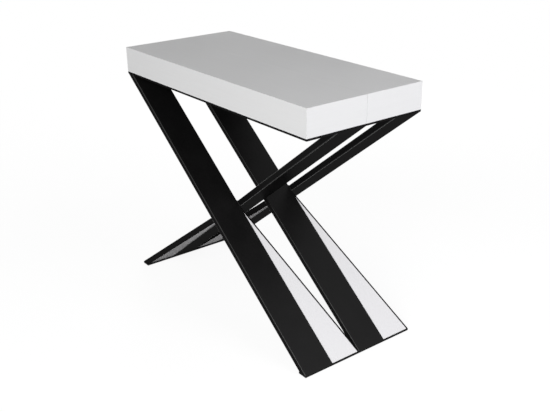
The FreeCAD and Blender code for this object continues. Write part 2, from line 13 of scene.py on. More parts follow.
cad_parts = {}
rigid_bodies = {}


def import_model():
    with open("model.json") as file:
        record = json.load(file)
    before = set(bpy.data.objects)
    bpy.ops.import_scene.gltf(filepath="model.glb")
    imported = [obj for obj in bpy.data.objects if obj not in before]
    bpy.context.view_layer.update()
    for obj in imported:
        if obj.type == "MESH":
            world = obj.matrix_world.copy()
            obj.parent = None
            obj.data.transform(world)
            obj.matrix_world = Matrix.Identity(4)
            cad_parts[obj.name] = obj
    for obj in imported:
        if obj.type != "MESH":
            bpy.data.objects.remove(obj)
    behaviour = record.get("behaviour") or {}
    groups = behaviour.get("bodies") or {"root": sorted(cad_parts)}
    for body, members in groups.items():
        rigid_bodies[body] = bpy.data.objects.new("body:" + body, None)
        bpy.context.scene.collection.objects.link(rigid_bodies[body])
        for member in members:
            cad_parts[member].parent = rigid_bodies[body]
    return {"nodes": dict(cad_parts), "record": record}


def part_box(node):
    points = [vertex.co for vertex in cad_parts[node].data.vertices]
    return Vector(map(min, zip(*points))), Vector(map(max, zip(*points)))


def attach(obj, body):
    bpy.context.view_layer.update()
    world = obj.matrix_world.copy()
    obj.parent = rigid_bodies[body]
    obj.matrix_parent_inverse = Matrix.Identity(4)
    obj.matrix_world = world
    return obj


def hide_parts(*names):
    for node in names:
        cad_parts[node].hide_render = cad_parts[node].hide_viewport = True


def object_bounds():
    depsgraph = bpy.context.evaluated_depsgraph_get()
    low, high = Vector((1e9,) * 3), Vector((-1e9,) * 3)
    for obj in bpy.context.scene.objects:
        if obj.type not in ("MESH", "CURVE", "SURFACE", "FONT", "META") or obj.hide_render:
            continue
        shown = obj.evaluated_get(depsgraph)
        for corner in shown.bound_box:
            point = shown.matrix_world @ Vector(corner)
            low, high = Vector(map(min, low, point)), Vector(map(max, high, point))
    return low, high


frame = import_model()
cad_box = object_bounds()

bl_info = {
    "name": "Extending console table",
    "version": (1, 0, 0),
    "blender": (4, 5, 0),
    "location": "3D View > Sidebar > Console table",
    "description": "Dresses an extending console table: boards, steel, rails, fasteners and stage",
    "category": "Object",
}

HALVES = ("front", "rear")
SIDES = ("left", "right")
BODIES = frame["record"]["behaviour"]["bodies"]
BODY_OF = {node: body for body, nodes in BODIES.items() for node in nodes}

# How meshes are merged, eased and divided.
MERGE_DISTANCE = 1e-6
FLAT_ANGLE = math.radians(0.5)
SHARP_ANGLE = math.radians(30)
EDGE_SEGMENTS = 3
CORNER_STEPS = 6
TURNED_STEPS = 40
STEPS_PER_FLUTE = 6

# Places of the corner coat and the side coat, a copy of the coat that mirrors less as painted shade, in a
# leg's list of finishes.
CORNER_FINISH = 1
SHADED_SIDE_FINISH = 2

# A rivet's dome, as shares of its radius and height.
DOME = ((0, 1), (0.5, 0.87), (0.86, 0.5), (1, 0))

# A cross recess: its floor against its mouth, and how far outside the head the cut starts.
RECESS_TAPER = 0.35
RECESS_START = 1e-5

# A weld bead: steps and chance of its ripples, its sides, and the length and radius of an end as shares.
RIPPLE_STEPS = 5
RIPPLE_CHANCE = 0.4
BEAD_SIDES = 10
BEAD_FADE = 0.06
BEAD_END = 0.35

# Where a bead's middle lies, in bead radii: under the plate, in the leg's side, and off the leg's face.
HEAD_DROP = 0.3
HEAD_SINK = 0.4
CROSSING_SINK = 0.3
CROSSING_LIFT = 0.2

# How far from a leg's corner a head weld ends, in walls of the tube.
WELD_STOP = 2

# The part of a noise that is stretched to the full range of a pattern.
MIDDLE_PART = (0.3, 0.7)
WIDE_PART = (0.25, 0.75)
PORE_PART = (0.60, 0.74)
FLECK_PART = (0.62, 0.72)

# Sizes of patterns along X, Y and Z, and the turn of the felt's fibres.
RAIL_CLOUDS = (0.03, 0.09, 0.03)
ZINC_CLOUDS = (0.0015, 0.0015, 0.0015)
NYLON_SKIN = (0.0006, 0.0006, 0.0006)
FELT_FIBRES = (0.0012, 0.00035, 0.0005)
FELT_TURN = (0.3, 0.2, 0.6)
BEECH_GRAIN = (0.0012, 0.05, 0.0012)
BEECH_FLECKS = (0.0005, 0.003, 0.0005)

# Colours that pores and flecks multiply into a face.
PORE_SHADE = (0.35, 0.35, 0.36)
FLECK_SHADE = (0.55, 0.4, 0.3)

# Strength of the coat's waves on flat faces and on corners.
FLAT_PEEL = 0.6
CORNER_PEEL = 0.1

# The floor: its gap under the pads, its sides, and where it fades from the seen floor to plain white.
FLOOR_GAP = 0.0002
FLOOR_SIDES = 64
FLOOR_FADE = (1.0, 3.0)

# The gleam hangs a little nearer than the front light, which would hide it otherwise.
GLEAM_NEARNESS = 0.98


# Settings that a user would change.

class BoardFinish(bpy.types.PropertyGroup):
    """The white faced boards of the slab and the triangles."""
    colour: bpy.props.FloatVectorProperty(
        name="White", description="Colour of the melamine face", subtype="COLOR",
        default=(0.835, 0.836, 0.838), min=0, max=1)
    roughness: bpy.props.FloatProperty(
        name="Roughness", description="How matt the face is", subtype="FACTOR",
        default=0.52, min=0, max=1)
    specular: bpy.props.FloatProperty(
        name="Specular", description="Strength of the face's reflections", subtype="FACTOR",
        default=0.2, min=0, max=1)
    # The triangles' white is a lighter copy of the slab's white: painted light that makes the triangles
    # brighter than the slab.
    triangle_painted_light_colour: bpy.props.FloatVectorProperty(
        name="Triangle white", description="Colour of the triangles' faces", subtype="COLOR",
        default=(0.885, 0.878, 0.89), min=0, max=1)
    triangle_specular: bpy.props.FloatProperty(
        name="Triangle specular", description="Strength of the triangles' reflections", subtype="FACTOR",
        default=0.02, min=0, max=1)
    edge_radius: bpy.props.FloatProperty(
        name="Edge radius", description="Rounding of the board's edges", unit="LENGTH",
        default=0.0005, min=0)
    streak_length: bpy.props.FloatProperty(
        name="Streak length", description="Length of a grain streak", unit="LENGTH", default=0.22)
    streak_width: bpy.props.FloatProperty(
        name="Streak width", description="Width of a grain streak", unit="LENGTH", default=0.006)
    pore_length: bpy.props.FloatProperty(
        name="Pore length", description="Length of an embossed pore", unit="LENGTH", default=0.014)
    pore_width: bpy.props.FloatProperty(
        name="Pore width", description="Width of an embossed pore", unit="LENGTH", default=0.0007)
    pore_depth: bpy.props.FloatProperty(
        name="Pore depth", description="Depth of an embossed pore", unit="LENGTH", default=0.00012)


class SteelFinish(bpy.types.PropertyGroup):
    """The black coated steel of the plates, legs and bars."""
    colour: bpy.props.FloatVectorProperty(
        name="Black", description="Colour of the powder coat", subtype="COLOR",
        default=(0.0058, 0.0056, 0.0057), min=0, max=1)
    roughness: bpy.props.FloatProperty(
        name="Roughness", description="How matt the coat is", subtype="FACTOR",
        default=0.4, min=0, max=1)
    mirror_share: bpy.props.FloatProperty(
        name="Mirror share", description="Share of the light that a leg's wide face mirrors",
        subtype="FACTOR", default=0.0138, min=0, max=1)
    # A smaller mirror share for narrow sides, plates and edge bars: painted shade that darkens them.
    shaded_side_mirror_share: bpy.props.FloatProperty(
        name="Side mirror share", description="Share that narrow sides, plates and edge bars mirror",
        subtype="FACTOR", default=0.006, min=0, max=1)
    corner_colour: bpy.props.FloatVectorProperty(
        name="Corner black", description="Colour of the thin coat on the leg corners", subtype="COLOR",
        default=(0.009, 0.0087, 0.0088), min=0, max=1)
    corner_roughness: bpy.props.FloatProperty(
        name="Corner roughness", description="How matt the thin coat on the leg corners is",
        subtype="FACTOR", default=0.24, min=0, max=1)
    corner_specular: bpy.props.FloatProperty(
        name="Corner specular", description="Strength of the reflections on the leg corners",
        subtype="FACTOR", default=0.35, min=0, max=1)
    peel_size: bpy.props.FloatProperty(
        name="Peel size", description="Size of the coat's fine waves", unit="LENGTH", default=0.0016)
    peel_depth: bpy.props.FloatProperty(
        name="Peel depth", description="Depth of the coat's fine waves", unit="LENGTH", default=0.00004)
    edge_radius: bpy.props.FloatProperty(
        name="Edge radius", description="Rounding of plate and bar edges", unit="LENGTH",
        default=0.0004, min=0)
    leg_thickness: bpy.props.FloatProperty(
        name="Leg thickness", description="Short side of the leg tube", unit="LENGTH", default=0.0185)
    leg_wall: bpy.props.FloatProperty(
        name="Leg wall", description="Wall of the leg tube", unit="LENGTH", default=0.002)
    leg_corner: bpy.props.FloatProperty(
        name="Leg corner", description="Outer corner radius of the leg tube", unit="LENGTH", default=0.002)
    bead_radius: bpy.props.FloatProperty(
        name="Bead radius", description="Radius of the weld beads", unit="LENGTH", default=0.0018)
    ripple: bpy.props.FloatProperty(
        name="Ripple", description="Height of a weld ripple against the bead's radius",
        subtype="FACTOR", default=0.14, min=0, max=1)
    ripple_pitch: bpy.props.FloatProperty(
        name="Ripple pitch", description="Spacing of the ripples in a weld bead", unit="LENGTH",
        default=0.0026)
    bead_seed: bpy.props.IntProperty(
        name="Bead seed", description="Fixes how uneven the weld ripples are", default=3)


class RailFinish(bpy.types.PropertyGroup):
    """The aluminium rails, and the small pieces of nylon, felt and beech."""
    colour: bpy.props.FloatVectorProperty(
        name="Aluminium", description="Colour of the extrusions", subtype="COLOR",
        default=(0.36, 0.37, 0.39), min=0, max=1)
    roughness: bpy.props.FloatProperty(
        name="Roughness", description="How dull the extrusions are", subtype="FACTOR",
        default=0.58, min=0, max=1)
    edge_radius: bpy.props.FloatProperty(
        name="Edge radius", description="Rounding of rail edges", unit="LENGTH", default=0.00025, min=0)
    die_line_width: bpy.props.FloatProperty(
        name="Die line width", description="Width of the lines along an extrusion", unit="LENGTH",
        default=0.0009)
    die_line_length: bpy.props.FloatProperty(
        name="Die line length", description="Length of the lines along an extrusion", unit="LENGTH",
        default=0.6)
    nylon: bpy.props.FloatVectorProperty(
        name="Nylon", description="Colour of the stop plugs", subtype="COLOR",
        default=(0.022, 0.022, 0.024), min=0, max=1)
    felt: bpy.props.FloatVectorProperty(
        name="Felt", description="Colour of the foot pads", subtype="COLOR",
        default=(0.035, 0.034, 0.034), min=0, max=1)
    beech: bpy.props.FloatVectorProperty(
        name="Beech", description="Colour of the dowels", subtype="COLOR",
        default=(0.62, 0.41, 0.23), min=0, max=1)
    flute_depth: bpy.props.FloatProperty(
        name="Flute depth", description="Depth of the glue flutes in a dowel", unit="LENGTH",
        default=0.00035)
    flutes: bpy.props.IntProperty(
        name="Flutes", description="Number of glue flutes round a dowel", default=20, min=3)


class FastenerFinish(bpy.types.PropertyGroup):
    """The zinc plated screws and rivets."""
    colour: bpy.props.FloatVectorProperty(
        name="Zinc", description="Colour of the plating", subtype="COLOR",
        default=(0.60, 0.61, 0.63), min=0, max=1)
    roughness: bpy.props.FloatProperty(
        name="Roughness", description="How dull the plating is", subtype="FACTOR",
        default=0.36, min=0, max=1)
    recess_radius: bpy.props.FloatProperty(
        name="Recess radius", description="Reach of the cross recess", unit="LENGTH", default=0.0024)
    recess_width: bpy.props.FloatProperty(
        name="Recess width", description="Width of one slot against its reach", subtype="FACTOR",
        default=0.26, min=0, max=1)
    recess_depth: bpy.props.FloatProperty(
        name="Recess depth", description="Depth of the cross recess", unit="LENGTH", default=0.0022)
    rivet_radius: bpy.props.FloatProperty(
        name="Rivet radius", description="Radius of a tie bar rivet's head", unit="LENGTH",
        default=0.0032)
    rivet_height: bpy.props.FloatProperty(
        name="Rivet height", description="Height of a tie bar rivet's head", unit="LENGTH",
        default=0.0015)
    seed: bpy.props.IntProperty(
        name="Seed", description="Fixes how far each screw is turned", default=7)


class StageSetup(bpy.types.PropertyGroup):
    """The floor, the lights and the camera."""
    camera_place: bpy.props.FloatVectorProperty(
        name="Camera place", description="Where the camera stands", subtype="XYZ", unit="LENGTH",
        default=(1.9146, -1.4179, 1.3280))
    camera_aim: bpy.props.FloatVectorProperty(
        name="Camera aim", description="The point that the camera looks at", subtype="XYZ",
        unit="LENGTH", default=(0.0, 0.0447, 0.3021))
    camera_roll: bpy.props.FloatProperty(
        name="Camera roll", description="Turn about the line of sight", unit="ROTATION",
        default=math.radians(-0.73))
    lens: bpy.props.FloatProperty(
        name="Lens", description="Focal length in millimetres on a 36 mm sensor", default=53.98)
    right_place: bpy.props.FloatVectorProperty(
        name="Right light place", description="Where the light on the right hangs", subtype="XYZ",
        unit="LENGTH", default=(2.15, 0.44, 1.18))
    right_size: bpy.props.FloatProperty(
        name="Right light size", description="Side of the square light on the right", unit="LENGTH",
        default=1.2)
    right_power: bpy.props.FloatProperty(
        name="Right light power", description="Power of the light on the right in watts", default=19.2)
    right_colour: bpy.props.FloatVectorProperty(
        name="Right light colour", description="Tint of the light on the right", subtype="COLOR",
        default=(0.97, 0.97, 1.0), min=0, max=1)
    front_place: bpy.props.FloatVectorProperty(
        name="Front light place", description="Where the light in front hangs", subtype="XYZ",
        unit="LENGTH", default=(2.91, -4.4, 1.92))
    front_size: bpy.props.FloatProperty(
        name="Front light size", description="Side of the square light in front", unit="LENGTH",
        default=4.2)
    front_power: bpy.props.FloatProperty(
        name="Front light power", description="Power of the light in front in watts", default=290)
    back_place: bpy.props.FloatVectorProperty(
        name="Back light place", description="Where the light behind the table hangs", subtype="XYZ",
        unit="LENGTH", default=(-2.6, 2.4, 0.9))
    back_size: bpy.props.FloatProperty(
        name="Back light size", description="Side of the square light behind the table", unit="LENGTH",
        default=1.6)
    back_power: bpy.props.FloatProperty(
        name="Back light power", description="Power of the light behind the table in watts", default=40)
    sky: bpy.props.FloatProperty(
        name="Sky", description="Strength of the even light from all round", subtype="FACTOR",
        default=0.17, min=0, max=1)
    floor: bpy.props.FloatVectorProperty(
        name="Floor", description="Colour of the light that the floor throws back", subtype="COLOR",
        default=(0.07, 0.07, 0.07), min=0, max=1)
    floor_seen: bpy.props.FloatVectorProperty(
        name="Floor as seen", description="Colour of the floor that takes the shadow", subtype="COLOR",
        default=(0.85, 0.85, 0.85), min=0, max=1)
    floor_radius: bpy.props.FloatProperty(
        name="Floor radius", description="How far the floor reaches", unit="LENGTH", default=30)
    floor_white: bpy.props.FloatProperty(
        name="Floor white", description="Share of plain white in the floor as it is seen",
        subtype="FACTOR", default=0.8, min=0, max=1)
    floor_glow: bpy.props.FloatProperty(
        name="Floor glow", description="Strength of the plain white near the table", default=1.12)


# Node trees.

def add_node(tree, kind, inputs=None, **settings):
    """Adds a node; an input is given a value or, if the value is a socket, a link."""
    node = tree.nodes.new(kind)
    for name, setting in settings.items():
        setattr(node, name, setting)
    for key, content in (inputs or {}).items():
        if isinstance(content, bpy.types.NodeSocket):
            tree.links.new(content, node.inputs[key])
        else:
            node.inputs[key].default_value = content
    return node


def maths(tree, operation, *terms):
    """The result of an operation on sockets and numbers."""
    return add_node(tree, "ShaderNodeMath", dict(enumerate(terms)), operation=operation).outputs["Value"]


def remap(tree, pattern, from_range, to_range=(0.0, 1.0)):
    """The pattern, stretched from one range to another and clamped."""
    mapped = add_node(tree, "ShaderNodeMapRange", {
        "Value": pattern, "From Min": from_range[0], "From Max": from_range[1],
        "To Min": to_range[0], "To Max": to_range[1]})
    return mapped.outputs["Result"]


def noise(tree, size, turn=(0, 0, 0), detail=3.0, roughness=0.55):
    """A noise pattern in the piece's own space whose features have this size along each axis."""
    where = add_node(tree, "ShaderNodeTexCoord")
    scaled = add_node(tree, "ShaderNodeMapping", {
        "Vector": where.outputs["Object"], "Rotation": turn, "Scale": size}, vector_type="TEXTURE")
    pattern = add_node(tree, "ShaderNodeTexNoise", {
        "Vector": scaled.outputs["Vector"], "Scale": 1.0, "Detail": detail, "Roughness": roughness})
    return pattern.outputs["Fac"]


def new_finish(name, colour, roughness, metallic=0.0, specular=0.5):
    """A material with its shader's constants set; returns the material, its tree and its shader."""
    finish = bpy.data.materials.new(name)
    finish.use_nodes = True
    tree = finish.node_tree
    shader = tree.nodes["Principled BSDF"]
    shader.inputs["Base Color"].default_value = (*colour, 1)
    shader.inputs["Roughness"].default_value = roughness
    shader.inputs["Metallic"].default_value = metallic
    shader.inputs["Specular IOR Level"].default_value = specular
    return finish, tree, shader


def vary_colour(tree, shader, pattern, colour, dark, light):
    """Runs the shader's colour from a dark to a light share of itself with the pattern."""
    ramp = add_node(tree, "ShaderNodeValToRGB", {"Fac": pattern})
    for stop, share in zip(ramp.color_ramp.elements, (dark, light)):
        stop.color = (*(min(1.0, part * share) for part in colour), 1)
    tree.links.new(ramp.outputs["Color"], shader.inputs["Base Color"])
    return ramp.outputs["Color"]


def darken_spots(tree, shader, plain, spots, shade):
    """Multiplies a shade into a plain colour where there are spots."""
    spotted = add_node(tree, "ShaderNodeMix", data_type="RGBA", blend_type="MULTIPLY")
    tree.links.new(spots, spotted.inputs["Factor"])
    tree.links.new(plain, spotted.inputs["A"])
    spotted.inputs["B"].default_value = (*shade, 1)
    tree.links.new(spotted.outputs["Result"], shader.inputs["Base Color"])


def vary_gloss(tree, shader, pattern, roughness, smoother, rougher):
    """Runs the shader's roughness down and up by these amounts with the pattern."""
    gloss = remap(tree, pattern, MIDDLE_PART, (roughness - smoother, roughness + rougher))
    tree.links.new(gloss, shader.inputs["Roughness"])
    return gloss


def emboss(tree, shader, height, depth, strength, before=None):
    """Bumps the shader's surface by a height pattern, on top of an earlier bump if there is one."""
    inputs = {"Height": height, "Distance": depth, "Strength": strength}
    if before:
        inputs["Normal"] = before
    bump = add_node(tree, "ShaderNodeBump", inputs)
    tree.links.new(bump.outputs["Normal"], shader.inputs["Normal"])
    return bump.outputs["Normal"]


# Finishes.

def board_finish(name, turn, colour, specular):
    """White melamine, printed with a faint grain and embossed with fine pores along it."""
    look = bpy.context.scene.console_boards
    finish, tree, shader = new_finish(name, colour, look.roughness, specular=specular)
    streaks = noise(tree, (look.streak_length, look.streak_width, look.streak_width), turn, detail=4.0)
    clouds = noise(tree, (look.streak_length,) * 3, turn)
    pores = noise(tree, (look.pore_length, look.pore_width, look.pore_width), turn, detail=2.0)
    printed = vary_colour(tree, shader, remap(tree, streaks, MIDDLE_PART), colour, dark=0.99, light=1.006)
    darken_spots(tree, shader, printed, remap(tree, pores, PORE_PART, (0.0, 0.07)), PORE_SHADE)
    vary_gloss(tree, shader, clouds, look.roughness, smoother=0.05, rougher=0.05)
    sunk = remap(tree, pores, PORE_PART, (1.0, 0.0))
    pored = emboss(tree, shader, sunk, look.pore_depth, strength=0.5)
    emboss(tree, shader, streaks, look.pore_depth, strength=0.1, before=pored)
    return finish


def coat_finish(name, colour, roughness, specular, peel_strength):
    """Black powder coat: a fine wavy skin with slight changes of tone."""
    look = bpy.context.scene.console_steel
    finish, tree, shader = new_finish(name, colour, roughness, specular=specular)
    grit_size, cloud_size = look.peel_size / 4, look.peel_size * 50
    peel = noise(tree, (look.peel_size,) * 3, detail=2.0)
    grit = noise(tree, (grit_size,) * 3, detail=2.0)
    clouds = noise(tree, (cloud_size,) * 3)
    vary_colour(tree, shader, remap(tree, clouds, MIDDLE_PART), colour, dark=0.9, light=1.15)
    gloss = vary_gloss(tree, shader, clouds, roughness, smoother=0.04, rougher=0.04)
    waves = emboss(tree, shader, peel, look.peel_depth, peel_strength)
    skin = emboss(tree, shader, grit, look.peel_depth / 2, peel_strength / 3, before=waves)
    return finish, tree, shader, gloss, skin


def flat_coat_finish(name, mirror_share):
    """The coat as it lies on flat faces, with a faint mirror that is the same from every side."""
    look = bpy.context.scene.console_steel
    finish, tree, shader, gloss, skin = coat_finish(name, look.colour, look.roughness, 0.0, FLAT_PEEL)
    mirror = add_node(tree, "ShaderNodeBsdfGlossy", {"Roughness": gloss, "Normal": skin})
    layered = add_node(tree, "ShaderNodeMixShader", {
        "Fac": mirror_share, 1: shader.outputs["BSDF"], 2: mirror.outputs["BSDF"]})
    tree.links.new(layered.outputs["Shader"], tree.nodes["Material Output"].inputs["Surface"])
    return finish


def wide_coat_finish(name):
    """The coat of the legs' wide faces, the foot bars, the tie bars and the welds, with the full mirror
    share.
    """
    return flat_coat_finish(name, bpy.context.scene.console_steel.mirror_share)


def shaded_side_coat_finish(name):
    """A copy of the coat that mirrors less: painted shade that darkens narrow sides, plates and thin bars.
    """
    return flat_coat_finish(name, bpy.context.scene.console_steel.shaded_side_mirror_share)


def corner_coat_finish(name):
    """The coat as it draws thin and smooth round a corner."""
    look = bpy.context.scene.console_steel
    coat = coat_finish(name, look.corner_colour, look.corner_roughness, look.corner_specular, CORNER_PEEL)
    return coat[0]


def rail_finish(name):
    """Mill finish aluminium with the die's lines along the extrusion."""
    look = bpy.context.scene.console_rails
    finish, tree, shader = new_finish(name, look.colour, look.roughness, metallic=1.0)
    line_size = (look.die_line_width, look.die_line_length, look.die_line_width)
    lines = noise(tree, line_size, detail=4.0, roughness=0.7)
    clouds = noise(tree, RAIL_CLOUDS)
    vary_colour(tree, shader, remap(tree, lines, WIDE_PART), look.colour, dark=0.86, light=1.05)
    vary_gloss(tree, shader, clouds, look.roughness, smoother=0.07, rougher=0.09)
    emboss(tree, shader, lines, depth=0.00003, strength=0.5)
    return finish


def zinc_finish(name):
    """Bright zinc plating, slightly cloudy."""
    look = bpy.context.scene.console_fasteners
    finish, tree, shader = new_finish(name, look.colour, look.roughness, metallic=1.0)
    clouds = noise(tree, ZINC_CLOUDS)
    vary_colour(tree, shader, remap(tree, clouds, MIDDLE_PART), look.colour, dark=0.88, light=1.06)
    vary_gloss(tree, shader, clouds, look.roughness, smoother=0.08, rougher=0.08)
    return finish


def nylon_finish(name):
    """Moulded black nylon with a spark eroded skin."""
    colour = bpy.context.scene.console_rails.nylon
    finish, tree, shader = new_finish(name, colour, roughness=0.55)
    skin = noise(tree, NYLON_SKIN, detail=2.0)
    vary_colour(tree, shader, skin, colour, dark=0.85, light=1.2)
    emboss(tree, shader, skin, depth=0.00004, strength=0.6)
    return finish


def felt_finish(name):
    """Pressed black felt: short tangled fibres with a soft sheen."""
    colour = bpy.context.scene.console_rails.felt
    finish, tree, shader = new_finish(name, colour, roughness=0.95, specular=0.1)
    shader.inputs["Sheen Weight"].default_value = 0.35
    shader.inputs["Sheen Roughness"].default_value = 0.6
    fibres = noise(tree, FELT_FIBRES, FELT_TURN, detail=5.0, roughness=0.75)
    vary_colour(tree, shader, remap(tree, fibres, MIDDLE_PART), colour, dark=0.6, light=1.7)
    emboss(tree, shader, fibres, depth=0.0004, strength=0.9)
    return finish


def beech_finish(name):
    """Bare beech with its grain along the dowel and short dark flecks."""
    colour = bpy.context.scene.console_rails.beech
    finish, tree, shader = new_finish(name, colour, roughness=0.6)
    grain = noise(tree, BEECH_GRAIN, detail=4.0)
    flecks = noise(tree, BEECH_FLECKS, detail=2.0)
    grained = vary_colour(tree, shader, remap(tree, grain, WIDE_PART), colour, dark=0.72, light=1.12)
    darken_spots(tree, shader, grained, remap(tree, flecks, FLECK_PART, (0.0, 0.5)), FLECK_SHADE)
    emboss(tree, shader, grain, depth=0.0001, strength=0.4)
    return finish


FINISH_MAKERS = {
    "powder_coat": wide_coat_finish, "side_coat": shaded_side_coat_finish, "corner_coat": corner_coat_finish,
    "mill_aluminium": rail_finish, "zinc_plate": zinc_finish, "black_nylon": nylon_finish,
    "black_felt": felt_finish, "bare_beech": beech_finish,
}


def finish_named(name):
    """The finish of this name, made the first time that it is asked for."""
    return bpy.data.materials.get(name) or FINISH_MAKERS[name](name)


def white_board(direction, turn, colour, specular):
    """The white finish with its grain turned to lie along a direction."""
    name = f"white_melamine_{direction}"
    return bpy.data.materials.get(name) or board_finish(name, turn, colour, specular)


# Solids of the frame and the pieces that stand for them.

def nodes_ending(*endings):
    """The names of the solids that end in one of these words, in a fixed order."""
    return sorted(node for node in frame["nodes"] if node.endswith(endings))


def mesh_from(shape, name):
    """Ends a bmesh: a mesh with smooth faces and sharp edges where it turns a corner."""
    mesh = bpy.data.meshes.new(name)
    shape.to_mesh(mesh)
    shape.free()
    mesh.shade_smooth()
    mesh.set_sharp_from_angle(angle=SHARP_ANGLE)
    return mesh


def new_piece(name, mesh, body, finish=None):
    """A piece of the object that moves with a body."""
    piece = bpy.data.objects.new(name, mesh)
    bpy.context.scene.collection.objects.link(piece)
    if finish:
        mesh.materials.append(finish)
    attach(piece, body)
    return piece


def merged_solid(node):
    """A bmesh of a solid with its loose triangles joined."""
    shape = bmesh.new()
    shape.from_mesh(frame["nodes"][node].data)
    bmesh.ops.remove_doubles(shape, verts=shape.verts, dist=MERGE_DISTANCE)
    return shape


def solid_copy(node):
    """A closed copy of a solid's mesh in which every flat face is whole again."""
    shape = merged_solid(node)
    bmesh.ops.dissolve_limit(shape, angle_limit=FLAT_ANGLE, verts=shape.verts, edges=shape.edges)
    for face in shape.faces:
        face.material_index = 0
    mesh = bpy.data.meshes.new(f"{node}_finished")
    shape.to_mesh(mesh)
    shape.free()
    custom = mesh.attributes.get("custom_normal")
    if custom:
        mesh.attributes.remove(custom)
    mesh.shade_smooth()
    return mesh


def finish_solids(finish, slot, edge_radius, *endings):
    """Puts a copy with eased edges in place of every solid whose name ends in one of these words."""
    for node in nodes_ending(*endings):
        piece = new_piece(f"{node}_finished", solid_copy(node), BODY_OF[node], finish)
        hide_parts(node)
        bevel = piece.modifiers.new("eased_edges", "BEVEL")
        bevel.width = edge_radius
        bevel.segments = EDGE_SEGMENTS
        bevel.limit_method = "ANGLE"
        bevel.angle_limit = SHARP_ANGLE
        bevel.harden_normals = True


def solid_boxes(node):
    """The lowest and highest corner of each separate solid in a group, in a fixed order."""
    shape = merged_solid(node)
    left = set(shape.verts)
    boxes = []
    while left:
        reached = [left.pop()]
        for vert in reached:
            for edge in vert.link_edges:
                other = edge.other_vert(vert)
                if other in left:
                    left.remove(other)
                    reached.append(other)
        low = Vector(min(vert.co[axis] for vert in reached) for axis in range(3))
        high = Vector(max(vert.co[axis] for vert in reached) for axis in range(3))
        boxes.append((low, high))
    shape.free()
    return sorted(boxes, key=lambda box: (round(box[0].x, 5), round(box[0].y, 5)))


# Legs: where they stand follows from the boxes of their solids.

def leg_slope(node):
    """The angle between a leg and the floor."""
    low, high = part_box(node)
    rise, run = high.z - low.z, high.x - low.x
    thickness = bpy.context.scene.console_steel.leg_thickness
    return math.atan2(rise, run) + math.asin(thickness / math.hypot(rise, run))


def foot_side(node):
    """1 for a leg whose foot stands on the right, -1 for one that stands on the left."""
    return 1 if "_right_" in node else -1


def leg_point(node, y, depth, level):
    """The point of a leg at this width, depth under its upper face and height above the floor."""
    low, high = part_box(node)
    slope, side = leg_slope(node), foot_side(node)
    foot_x = high.x if side > 0 else low.x
    along = (level - low.z + depth * math.cos(slope)) / math.sin(slope)
    return Vector((foot_x - side * (depth * math.sin(slope) + along * math.cos(slope)), y, level))


def tube_section(width, thickness, inset, radius):
    """A rectangle with round corners as pairs of width and depth, inset from the tube's outside."""
    near = inset + radius
    far, deepest = width - near, thickness - near
    section = []
    for quarter, (across, deep) in enumerate(((far, deepest), (near, deepest), (near, near), (far, near))):
        for step in range(CORNER_STEPS + 1):
            angle = math.radians(90 * (quarter + step / CORNER_STEPS))
            section.append((across + radius * math.cos(angle), deep + radius * math.sin(angle)))
    return section


def leg_mesh(node):
    """A rectangular tube with round corners, cut level under the plate and on the foot bar."""
    look = bpy.context.scene.console_steel
    low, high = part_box(node)
    width = high.y - low.y
    inner_radius = look.leg_corner / 4
    sections = [tube_section(width, look.leg_thickness, 0, look.leg_corner),
                tube_section(width, look.leg_thickness, look.leg_wall, inner_radius)]
    shape = bmesh.new()
    rings = [[shape.verts.new(leg_point(node, low.y + across, deep, level)) for across, deep in section]
             for section in sections for level in (low.z, high.z)]
    outer_foot, outer_head, inner_foot, inner_head = rings
    for first, second in ((outer_foot, outer_head), (outer_head, inner_head),
                          (inner_head, inner_foot), (inner_foot, outer_foot)):
        for index in range(len(first)):
            following = (index + 1) % len(first)
            face = shape.faces.new((first[index], first[following], second[following], second[index]))
            quarter, step = divmod(index, CORNER_STEPS + 1)
            if first is outer_foot and step < CORNER_STEPS:
                face.material_index = CORNER_FINISH
            # The narrow sides take the side coat, which mirrors less as painted shade.
            elif first is outer_foot and quarter % 2:
                face.material_index = SHADED_SIDE_FINISH
    bmesh.ops.recalc_face_normals(shape, faces=shape.faces)
    return mesh_from(shape, f"{node}_finished")


# Paths of the welds.

def lane_middle(half):
    """The line between the two legs of a half."""
    low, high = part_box(f"{half}_mounting_plate")
    return (low.y + high.y) / 2


def head_weld(half, side):
    """Round the inner edges of a leg's head, where it meets the plate."""
    look = bpy.context.scene.console_steel
    node = f"{half}_{side}_leg"
    low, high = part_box(node)
    middle = lane_middle(half)
    outer = low.y if abs(low.y - middle) > abs(high.y - middle) else high.y
    inwards = math.copysign(1, middle - outer)
    level = high.z - look.bead_radius * HEAD_DROP
    sunk = look.bead_radius * HEAD_SINK
    stop = look.leg_wall * WELD_STOP
    inner_x = leg_point(node, outer, 0, high.z).x + foot_side(node) * sunk
    end_x = leg_point(node, outer, look.leg_thickness, high.z).x + foot_side(node) * stop
    start, beside = outer + inwards * stop, middle + inwards * sunk
    return [(inner_x, start, level), (inner_x, beside, level), (end_x, beside, level)]


def crossing_welds(half, side):
    """Along a leg's two faces where they pass the other leg of the half."""
    look = bpy.context.scene.console_steel
    node = f"{half}_{side}_leg"
    low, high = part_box(node)
    slope, foot = leg_slope(node), foot_side(node)
    middle = lane_middle(half)
    y = middle + math.copysign(look.bead_radius * CROSSING_SINK, (low.y + high.y) / 2 - middle)
    reach = look.leg_thickness / math.sin(slope) / 2
    welds = []
    for depth, out in ((0, 1), (look.leg_thickness, -1)):
        level = low.z + abs(leg_point(node, middle, depth, low.z).x) * math.tan(slope)
        ends = ((0.0, level), (foot * out * reach, level - out * reach * math.tan(slope)))
        lift = out * look.bead_radius * CROSSING_LIFT
        welds.append([(x + foot * lift * math.sin(slope), y, z + lift * math.cos(slope)) for x, z in ends])
    return welds


# Geometry node trees for what repeats or follows a path.

